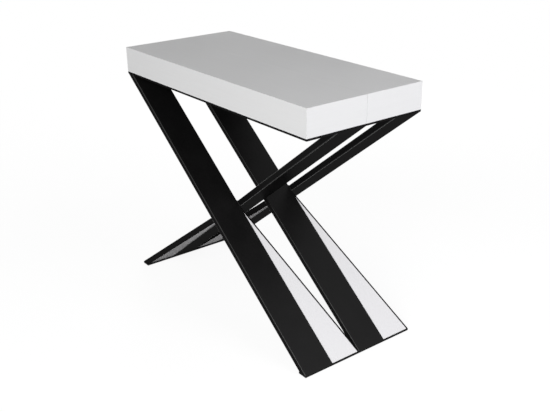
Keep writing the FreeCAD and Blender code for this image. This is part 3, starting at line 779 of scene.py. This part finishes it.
def new_tree(name, inputs):
    """An empty geometry tree with named inputs; returns the tree and the sockets of its inputs."""
    tree = bpy.data.node_groups.new(name, "GeometryNodeTree")
    for label, kind in inputs.items():
        tree.interface.new_socket(label, in_out="INPUT", socket_type=kind)
    tree.interface.new_socket("Geometry", in_out="OUTPUT", socket_type="NodeSocketGeometry")
    return tree, tree.nodes.new("NodeGroupInput").outputs


def end_tree(tree, geometry, finish):
    """Real geometry with its finish on, as every tree here ends."""
    real = add_node(tree, "GeometryNodeRealizeInstances", {"Geometry": geometry})
    finished = add_node(tree, "GeometryNodeSetMaterial",
                        {"Geometry": real.outputs["Geometry"], "Material": finish})
    add_node(tree, "NodeGroupOutput", {"Geometry": finished.outputs["Geometry"]})


def moved(tree, geometry, **move):
    """Geometry that is moved, turned or scaled."""
    return add_node(tree, "GeometryNodeTransform", {"Geometry": geometry, **move}).outputs["Geometry"]


def fastener_tree():
    """Sets a fastener on every point, each turned by chance, with a cross recess if it has one."""
    tree, given = new_tree("fasteners_on_points", {
        "Geometry": "NodeSocketGeometry", "Fastener": "NodeSocketObject",
        "Recessed": "NodeSocketBool", "Recess radius": "NodeSocketFloat",
        "Recess width": "NodeSocketFloat", "Recess depth": "NodeSocketFloat",
        "Turn": "NodeSocketFloat", "Seed": "NodeSocketInt", "Finish": "NodeSocketMaterial"})
    plain = add_node(tree, "GeometryNodeObjectInfo", {"Object": given["Fastener"]}).outputs["Geometry"]
    spike = add_node(tree, "GeometryNodeMeshCone", {
        "Vertices": 4, "Radius Top": maths(tree, "MULTIPLY", given["Recess radius"], RECESS_TAPER),
        "Radius Bottom": given["Recess radius"], "Depth": given["Recess depth"]})
    squared = moved(tree, spike.outputs["Mesh"], Rotation=(0, 0, math.radians(45)),
                    Translation=(0, 0, -RECESS_START))
    slimness = add_node(tree, "ShaderNodeCombineXYZ", {"X": 1, "Y": given["Recess width"], "Z": 1})
    blade = moved(tree, squared, Scale=slimness.outputs["Vector"])
    crossing = moved(tree, blade, Rotation=(0, 0, math.radians(90)))
    cut = add_node(tree, "GeometryNodeMeshBoolean", {"Mesh 1": plain, "Mesh 2": blade},
                   operation="DIFFERENCE", solver="EXACT")
    tree.links.new(crossing, cut.inputs["Mesh 2"])
    chosen = add_node(tree, "GeometryNodeSwitch", {
        "Switch": given["Recessed"], "False": plain, "True": cut.outputs["Mesh"]}, input_type="GEOMETRY")
    chance = add_node(tree, "FunctionNodeRandomValue", {3: given["Turn"], 8: given["Seed"]},
                      data_type="FLOAT")
    turned = add_node(tree, "ShaderNodeCombineXYZ", {"Z": chance.outputs[1]})
    placed = add_node(tree, "GeometryNodeInstanceOnPoints", {
        "Points": given["Geometry"], "Instance": chosen.outputs["Output"],
        "Rotation": turned.outputs["Vector"]})
    end_tree(tree, placed.outputs["Instances"], given["Finish"])
    return tree


def bead_tree():
    """Lays a rippled weld bead along every run of edges, thinner at its two ends."""
    tree, given = new_tree("weld_bead_on_edges", {
        "Geometry": "NodeSocketGeometry", "Bead radius": "NodeSocketFloat",
        "Ripple pitch": "NodeSocketFloat", "Ripple": "NodeSocketFloat",
        "Seed": "NodeSocketInt", "Finish": "NodeSocketMaterial"})
    path = add_node(tree, "GeometryNodeMeshToCurve", {"Mesh": given["Geometry"]})
    even = add_node(tree, "GeometryNodeResampleCurve", {
        "Curve": path.outputs["Curve"],
        "Length": maths(tree, "DIVIDE", given["Ripple pitch"], RIPPLE_STEPS)}, mode="LENGTH")
    place = add_node(tree, "GeometryNodeSplineParameter").outputs
    ripples = maths(tree, "DIVIDE", place["Length"], given["Ripple pitch"])
    wave = maths(tree, "SINE", maths(tree, "MULTIPLY", ripples, 2 * math.pi))
    chance = add_node(tree, "FunctionNodeRandomValue",
                      {2: -RIPPLE_CHANCE, 3: RIPPLE_CHANCE, 8: given["Seed"]}, data_type="FLOAT")
    uneven = maths(tree, "ADD", wave, chance.outputs[1])
    swell = maths(tree, "MULTIPLY_ADD", uneven, given["Ripple"], 1.0)
    from_end = maths(tree, "MINIMUM", place["Factor"], maths(tree, "SUBTRACT", 1.0, place["Factor"]))
    fading = remap(tree, from_end, (0.0, BEAD_FADE), (BEAD_END, 1.0))
    radius = maths(tree, "MULTIPLY", maths(tree, "MULTIPLY", swell, fading), given["Bead radius"])
    ring = add_node(tree, "GeometryNodeCurvePrimitiveCircle", {"Resolution": BEAD_SIDES, "Radius": 1.0})
    bead = add_node(tree, "GeometryNodeCurveToMesh", {
        "Curve": even.outputs["Curve"], "Profile Curve": ring.outputs["Curve"],
        "Scale": radius, "Fill Caps": True})
    end_tree(tree, bead.outputs["Mesh"], given["Finish"])
    return tree


def grown_piece(name, base, tree, inputs, body):
    """Runs a tree on a base mesh and keeps the result as a plain piece of a body."""
    carrier = bpy.data.objects.new(name, base)
    bpy.context.scene.collection.objects.link(carrier)
    grow = carrier.modifiers.new("grow", "NODES")
    grow.node_group = tree
    for item in tree.interface.items_tree:
        if item.in_out == "INPUT" and item.name in inputs:
            grow[item.identifier] = inputs[item.name]
    graph = bpy.context.evaluated_depsgraph_get()
    mesh = bpy.data.meshes.new_from_object(carrier.evaluated_get(graph), depsgraph=graph)
    bpy.data.objects.remove(carrier)
    mesh.shade_smooth()
    mesh.set_sharp_from_angle(angle=SHARP_ANGLE)
    return new_piece(name, mesh, body)


def paths_mesh(name, paths):
    """Runs of straight edges, one for each list of points."""
    mesh = bpy.data.meshes.new(name)
    points, edges = [], []
    for path in paths:
        start = len(points)
        points += path
        edges += [(start + index, start + index + 1) for index in range(len(path) - 1)]
    mesh.from_pydata(points, edges, [])
    return mesh


# Fasteners.

def turned_pattern(name, profile, steps=TURNED_STEPS, flute=0.0, flutes=1):
    """A turned solid about Z to copy from, as an unseen object; flutes run along its side."""
    shape = bmesh.new()
    rings = []
    for radius, height in profile:
        if radius == 0:
            rings.append([shape.verts.new((0, 0, height))])
            continue
        ring = []
        for step in range(steps):
            angle = 2 * math.pi * step / steps
            reach = radius - flute * (0.5 + 0.5 * math.cos(flutes * angle))
            ring.append(shape.verts.new((reach * math.cos(angle), reach * math.sin(angle), height)))
        rings.append(ring)
    for lower, upper in zip(rings, rings[1:]):
        for step in range(steps):
            following = (step + 1) % steps
            corners = [lower[step % len(lower)], lower[following % len(lower)],
                       upper[following % len(upper)], upper[step % len(upper)]]
            shape.faces.new(list(dict.fromkeys(corners)))
    bmesh.ops.recalc_face_normals(shape, faces=shape.faces)
    return bpy.data.objects.new(name, mesh_from(shape, name))


def set_fasteners(name, pattern, points, body, finish, recessed=False):
    """Sets copies of a pattern on points, turned by chance if recessed, and takes the pattern away."""
    look = bpy.context.scene.console_fasteners
    tree = bpy.data.node_groups.get("fasteners_on_points") or fastener_tree()
    bpy.context.scene.collection.objects.link(pattern)
    single_points = [[point] for point in points]
    piece = grown_piece(name, paths_mesh(name, single_points), tree, {
        "Fastener": pattern, "Recessed": recessed, "Recess radius": look.recess_radius,
        "Recess width": look.recess_width, "Recess depth": look.recess_depth,
        "Turn": math.pi if recessed else 0.0, "Seed": look.seed, "Finish": finish}, body)
    bpy.data.objects.remove(pattern)
    return piece


def countersunk_profile(head, length):
    """Radius and height along a countersunk screw, from the middle of its head to its tip."""
    shank, rim = head / 2, head / 20
    return [(0, 0), (head - rim, 0), (head, rim), (shank, head - shank + rim),
            (shank, length - shank), (0, length)]


def flat_head_profile(head, length):
    """Radius and height along a flat head screw, from the middle of its head to its tip."""
    shank, crown, face, shoulder = head / 2, head * 0.7, head * 0.62, head * 0.85
    return [(0, 0), (face, 0), (shoulder, crown * 0.2), (head, crown * 0.6), (head, crown),
            (shank, crown), (shank, length - shank), (0, length)]


def set_screws(pattern_name, profile_of, ending):
    """Sets the screws of every group with this ending where the solids of the group stand."""
    for node in nodes_ending(ending):
        boxes = solid_boxes(node)
        low, high = boxes[0]
        profile = profile_of((high.x - low.x) / 2, high.z - low.z)
        points = [((low.x + high.x) / 2, (low.y + high.y) / 2, low.z) for low, high in boxes]
        piece = set_fasteners(f"{node}_finished", turned_pattern(pattern_name, profile), points,
                              BODY_OF[node], finish_named("zinc_plate"), recessed=True)
        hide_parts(node)


# Floor, sky, lights and camera.

def seen_rays(tree):
    """One for rays that show the background: from the camera, or by a mirror or a glass surface."""
    rays = add_node(tree, "ShaderNodeLightPath").outputs
    either = maths(tree, "MAXIMUM", rays["Is Camera Ray"], rays["Is Glossy Ray"])
    return maths(tree, "MAXIMUM", either, rays["Is Transmission Ray"])


def floor_paint(look):
    """A pale paint that looks white, takes the table's shadow and is clear from below."""
    paint = bpy.data.materials.new("floor_paint")
    paint.use_nodes = True
    tree = paint.node_tree
    tree.nodes.clear()
    matt = add_node(tree, "ShaderNodeBsdfDiffuse", {"Color": (*look.floor, 1)})
    shadowed = add_node(tree, "ShaderNodeBsdfDiffuse", {"Color": (*look.floor_seen, 1)})
    where = add_node(tree, "ShaderNodeTexCoord")
    distance = add_node(tree, "ShaderNodeVectorMath", {0: where.outputs["Object"]},
                        operation="LENGTH").outputs["Value"]
    glow = remap(tree, distance, FLOOR_FADE, (look.floor_glow, 1.0))
    white = add_node(tree, "ShaderNodeEmission", {"Strength": glow})
    seen = add_node(tree, "ShaderNodeMixShader", {
        "Fac": remap(tree, distance, FLOOR_FADE, (look.floor_white, 1.0)),
        1: shadowed.outputs["BSDF"], 2: white.outputs["Emission"]})
    both = add_node(tree, "ShaderNodeMixShader", {
        "Fac": seen_rays(tree), 1: matt.outputs["BSDF"], 2: seen.outputs["Shader"]})
    clear = add_node(tree, "ShaderNodeBsdfTransparent")
    facing = add_node(tree, "ShaderNodeNewGeometry")
    sided = add_node(tree, "ShaderNodeMixShader", {
        "Fac": facing.outputs["Backfacing"], 1: both.outputs["Shader"], 2: clear.outputs["BSDF"]})
    add_node(tree, "ShaderNodeOutputMaterial", {"Surface": sided.outputs["Shader"]})
    return paint


def lay_floor(scene, look):
    """A wide round floor just under the pads."""
    shape = bmesh.new()
    bmesh.ops.create_circle(shape, cap_ends=True, segments=FLOOR_SIDES, radius=look.floor_radius)
    bmesh.ops.translate(shape, verts=shape.verts, vec=(0, 0, -FLOOR_GAP))
    mesh = bpy.data.meshes.new("floor")
    shape.to_mesh(mesh)
    shape.free()
    mesh.materials.append(floor_paint(look))
    floor = bpy.data.objects.new("floor", mesh)
    scene.collection.objects.link(floor)


def hang_sky(scene, look):
    """Even light from all round that is seen as white."""
    world = bpy.data.worlds.new("sky")
    world.use_nodes = True
    tree = world.node_tree
    strength = remap(tree, seen_rays(tree), (0.0, 1.0), (look.sky, 1.0))
    tree.nodes["Background"].inputs["Color"].default_value = (1, 1, 1, 1)
    tree.links.new(strength, tree.nodes["Background"].inputs["Strength"])
    scene.world = world


def hang_light(name, place, size, power):
    """A soft square light that faces the middle of the table."""
    light = bpy.data.lights.new(name, "AREA")
    light.shape = "SQUARE"
    light.size = size
    light.energy = power
    lamp = bpy.data.objects.new(name, light)
    bpy.context.scene.collection.objects.link(lamp)
    middle = (cad_box[0] + cad_box[1]) / 2
    lamp.location = place
    lamp.rotation_euler = (middle - Vector(place)).to_track_quat("-Z", "Y").to_euler()
    lamp.visible_camera = False
    return lamp


def full_coat_pieces():
    """The pieces with the powder coat at its full mirror share, as a collection that a light can be kept
    to.
    """
    coated = bpy.data.collections.new("full_coat_pieces")
    for piece in bpy.data.objects:
        if piece.type == "MESH" and "powder_coat" in piece.data.materials:
            coated.objects.link(piece)
    return coated


def hang_front_light(look):
    """The light in front, whose mirror image shows on the full coat and not on the top or the rails."""
    front = hang_light("front_light", look.front_place, look.front_size, look.front_power)
    front.visible_glossy = False
    nearer = Vector(look.front_place) * GLEAM_NEARNESS
    gleam = hang_light("front_gleam", nearer, look.front_size, look.front_power)
    gleam.visible_diffuse = False
    gleam.light_linking.receiver_collection = full_coat_pieces()


def place_camera(scene, look):
    """A camera that sees the table as the photo does."""
    camera = bpy.data.objects.new("camera", bpy.data.cameras.new("camera"))
    scene.collection.objects.link(camera)
    camera.data.lens = look.lens
    camera.data.clip_end = look.floor_radius * 2
    camera.location = look.camera_place
    gaze = Vector(look.camera_aim) - Vector(look.camera_place)
    level = gaze.to_track_quat("-Z", "Y").to_matrix().to_4x4()
    camera.rotation_euler = (level @ Matrix.Rotation(look.camera_roll, 4, "Z")).to_euler()
    scene.camera = camera


# Operators, one for each kind of piece and one for the stage.

class CONSOLE_OT_slab_boards(bpy.types.Operator):
    """Faces the mitred boards of the slab, with the grain along each board"""
    bl_idname = "console_table.slab_boards"
    bl_label = "Slab boards"

    def execute(self, context):
        look = context.scene.console_boards
        lengthwise = white_board("lengthwise", (0, 0, 0), look.colour, look.specular)
        crosswise = white_board("crosswise", (0, 0, math.radians(90)), look.colour, look.specular)
        finish_solids(lengthwise, "white_board", look.edge_radius, "_top_panel", "_long_apron")
        finish_solids(crosswise, "white_board", look.edge_radius, "_end_apron")
        return {"FINISHED"}


class CONSOLE_OT_gusset_panels(bpy.types.Operator):
    """Faces the white triangles, with the grain along the leg beside them"""
    bl_idname = "console_table.gusset_panels"
    bl_label = "Gusset panels"

    def execute(self, context):
        look = context.scene.console_boards
        for side in SIDES:
            leg = f"front_{side}_leg"
            turn = (0, leg_slope(leg) * foot_side(leg), 0)
            # The triangles take the lighter copy of the white, which is painted light.
            finish = white_board(f"{side}_slope", turn, look.triangle_painted_light_colour, look.triangle_specular)
            finish_solids(finish, "white_board", look.edge_radius, f"_{side}_gusset_panel")
        return {"FINISHED"}


class CONSOLE_OT_plates_and_bars(bpy.types.Operator):
    """Coats the mounting plates, edge bars and foot bars"""
    bl_idname = "console_table.plates_and_bars"
    bl_label = "Plates and bars"

    def execute(self, context):
        edge = context.scene.console_steel.edge_radius
        # Plates and edge bars take the side coat, which mirrors less as painted shade.
        finish_solids(finish_named("side_coat"), "black_steel", edge, "_mounting_plate", "_edge_bar")
        finish_solids(finish_named("powder_coat"), "black_steel", edge, "_foot_bar")
        return {"FINISHED"}


class CONSOLE_OT_legs(bpy.types.Operator):
    """Makes the crossed leg tubes with their rounded corners"""
    bl_idname = "console_table.legs"
    bl_label = "Legs"

    def execute(self, context):
        for node in nodes_ending("_leg"):
            piece = new_piece(f"{node}_finished", leg_mesh(node), BODY_OF[node],
                              finish_named("powder_coat"))
            piece.data.materials.append(finish_named("corner_coat"))
            # The side coat goes on the narrow sides and mirrors less, as painted shade.
            piece.data.materials.append(finish_named("side_coat"))
            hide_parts(node)
            even = piece.modifiers.new("flat_faces", "WEIGHTED_NORMAL")
            even.mode = "FACE_AREA"
            even.keep_sharp = True
        return {"FINISHED"}


class CONSOLE_OT_foot_pads(bpy.types.Operator):
    """Lays the felt pads under the foot bars"""
    bl_idname = "console_table.foot_pads"
    bl_label = "Foot pads"

    def execute(self, context):
        edge = context.scene.console_steel.edge_radius
        finish_solids(finish_named("black_felt"), "felt", edge, "_foot_pads")
        return {"FINISHED"}


class CONSOLE_OT_rails(bpy.types.Operator):
    """Finishes the aluminium rails and the steel tie bars between them"""
    bl_idname = "console_table.rails"
    bl_label = "Rails and tie bars"

    def execute(self, context):
        edge = context.scene.console_rails.edge_radius
        finish_solids(finish_named("mill_aluminium"), "rail_aluminium", edge, "_rail")
        finish_solids(finish_named("powder_coat"), "black_steel", edge, "_tie_bar")
        return {"FINISHED"}


class CONSOLE_OT_stop_plugs(bpy.types.Operator):
    """Finishes the plugs that end each rail's travel"""
    bl_idname = "console_table.stop_plugs"
    bl_label = "Stop plugs"

    def execute(self, context):
        edge = context.scene.console_rails.edge_radius
        finish_solids(finish_named("black_nylon"), "black_nylon", edge, "_stop_plugs")
        return {"FINISHED"}


class CONSOLE_OT_plate_screws(bpy.types.Operator):
    """Sets the countersunk screws that hold the plates to the aprons"""
    bl_idname = "console_table.plate_screws"
    bl_label = "Plate screws"

    def execute(self, context):
        set_screws("countersunk_screw", countersunk_profile, "_plate_screws")
        return {"FINISHED"}


class CONSOLE_OT_rail_screws(bpy.types.Operator):
    """Sets the flat head screws that hold the rails to the top panels"""
    bl_idname = "console_table.rail_screws"
    bl_label = "Rail screws"

    def execute(self, context):
        set_screws("flat_head_screw", flat_head_profile, "_rail_screws")
        return {"FINISHED"}


class CONSOLE_OT_tie_rivets(bpy.types.Operator):
    """Sets two rivets under each end of every tie bar"""
    bl_idname = "console_table.tie_rivets"
    bl_label = "Tie bar rivets"

    def execute(self, context):
        look = context.scene.console_fasteners
        radius, height = look.rivet_radius, look.rivet_height
        dome = [(radius * out, -height * down) for out, down in DOME]
        profile = dome + [(radius / 2, 0), (radius / 2, height), (0, height)]
        for node in nodes_ending("_tie_bar"):
            low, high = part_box(node)
            rail_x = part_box(node.replace("tie_bar", "right_rail"))[0].x
            from_end = (high.x - rail_x) / 2 if rail_x > 0 else radius * 2
            middle, across = (low.y + high.y) / 2, (high.y - low.y) / 4
            points = [(x, y, low.z) for x in (low.x + from_end, high.x - from_end)
                      for y in (middle - across, middle + across)]
            set_fasteners(f"{node}_rivets", turned_pattern("dome_rivet", profile), points, BODY_OF[node],
                          finish_named("zinc_plate"))
        return {"FINISHED"}


class CONSOLE_OT_dowels(bpy.types.Operator):
    """Makes the fluted dowels that line up the two halves"""
    bl_idname = "console_table.dowels"
    bl_label = "Alignment dowels"

    def execute(self, context):
        look = context.scene.console_rails
        for node in nodes_ending("_dowels"):
            boxes = solid_boxes(node)
            low, high = boxes[0]
            length, radius = high.y - low.y, (high.z - low.z) / 2
            chamfer = radius / 4
            profile = [(0, 0), (radius - chamfer, 0), (radius, chamfer), (radius, length - chamfer),
                       (radius - chamfer, length), (0, length)]
            pattern = turned_pattern("fluted_dowel", profile, look.flutes * STEPS_PER_FLUTE,
                                     look.flute_depth, look.flutes)
            pattern.data.transform(Matrix.Rotation(math.radians(-90), 4, "X"))
            points = [((low.x + high.x) / 2, low.y, (low.z + high.z) / 2) for low, high in boxes]
            piece = set_fasteners(f"{node}_finished", pattern, points, BODY_OF[node],
                                  finish_named("bare_beech"))
            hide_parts(node)
        return {"FINISHED"}


class CONSOLE_OT_weld_beads(bpy.types.Operator):
    """Lays the weld beads of the legs under the plates and at the crossings"""
    bl_idname = "console_table.weld_beads"
    bl_label = "Weld beads"

    def execute(self, context):
        look = context.scene.console_steel
        tree = bpy.data.node_groups.get("weld_bead_on_edges") or bead_tree()
        for half in HALVES:
            paths = []
            for side in SIDES:
                paths += [head_weld(half, side)] + crossing_welds(half, side)
            base = paths_mesh(f"{half}_weld_paths", paths)
            grown_piece(f"{half}_weld_beads", base, tree, {
                "Bead radius": look.bead_radius, "Ripple pitch": look.ripple_pitch,
                "Ripple": look.ripple, "Seed": look.bead_seed,
                "Finish": finish_named("powder_coat")}, f"{half}_half")
        return {"FINISHED"}


class CONSOLE_OT_stage(bpy.types.Operator):
    """Sets the floor, the sky, the lights and the camera"""
    bl_idname = "console_table.stage"
    bl_label = "Stage"

    def execute(self, context):
        look = context.scene.console_stage
        lay_floor(context.scene, look)
        hang_sky(context.scene, look)
        right = hang_light("right_light", look.right_place, look.right_size, look.right_power)
        right.data.color = look.right_colour
        hang_front_light(look)
        back = hang_light("back_light", look.back_place, look.back_size, look.back_power)
        back.visible_glossy = False
        place_camera(context.scene, look)
        context.scene.view_settings.view_transform = "Standard"
        return {"FINISHED"}


SETTINGS = {
    "console_boards": BoardFinish, "console_steel": SteelFinish, "console_rails": RailFinish,
    "console_fasteners": FastenerFinish, "console_stage": StageSetup,
}
STEPS = (
    CONSOLE_OT_slab_boards, CONSOLE_OT_gusset_panels, CONSOLE_OT_plates_and_bars, CONSOLE_OT_legs,
    CONSOLE_OT_foot_pads, CONSOLE_OT_rails, CONSOLE_OT_stop_plugs, CONSOLE_OT_plate_screws,
    CONSOLE_OT_rail_screws, CONSOLE_OT_tie_rivets, CONSOLE_OT_dowels, CONSOLE_OT_weld_beads,
    CONSOLE_OT_stage,
)


class CONSOLE_PT_table(bpy.types.Panel):
    """Lists the settings and the steps that dress the table"""
    bl_idname = "CONSOLE_PT_table"
    bl_label = "Console table"
    bl_space_type = "VIEW_3D"
    bl_region_type = "UI"
    bl_category = "Console table"

    def draw(self, context):
        for name, group in SETTINGS.items():
            box = self.layout.box()
            for prop in group.__annotations__:
                box.prop(getattr(context.scene, name), prop)
        for step in STEPS:
            self.layout.operator(step.bl_idname)


def register():
    """Adds the settings to every scene, then the steps and the panel."""
    for name, group in SETTINGS.items():
        bpy.utils.register_class(group)
        setattr(bpy.types.Scene, name, bpy.props.PointerProperty(type=group))
    for step in STEPS:
        bpy.utils.register_class(step)
    bpy.utils.register_class(CONSOLE_PT_table)


def unregister():
    """Takes away what register adds, in the opposite order."""
    bpy.utils.unregister_class(CONSOLE_PT_table)
    for step in reversed(STEPS):
        bpy.utils.unregister_class(step)
    for name, group in reversed(SETTINGS.items()):
        delattr(bpy.types.Scene, name)
        bpy.utils.unregister_class(group)


def main():
    """Runs every step in order."""
    register()
    for step in STEPS:
        group, operator = step.bl_idname.split(".")
        getattr(getattr(bpy.ops, group), operator)()


if __name__ == "__main__":
    main()
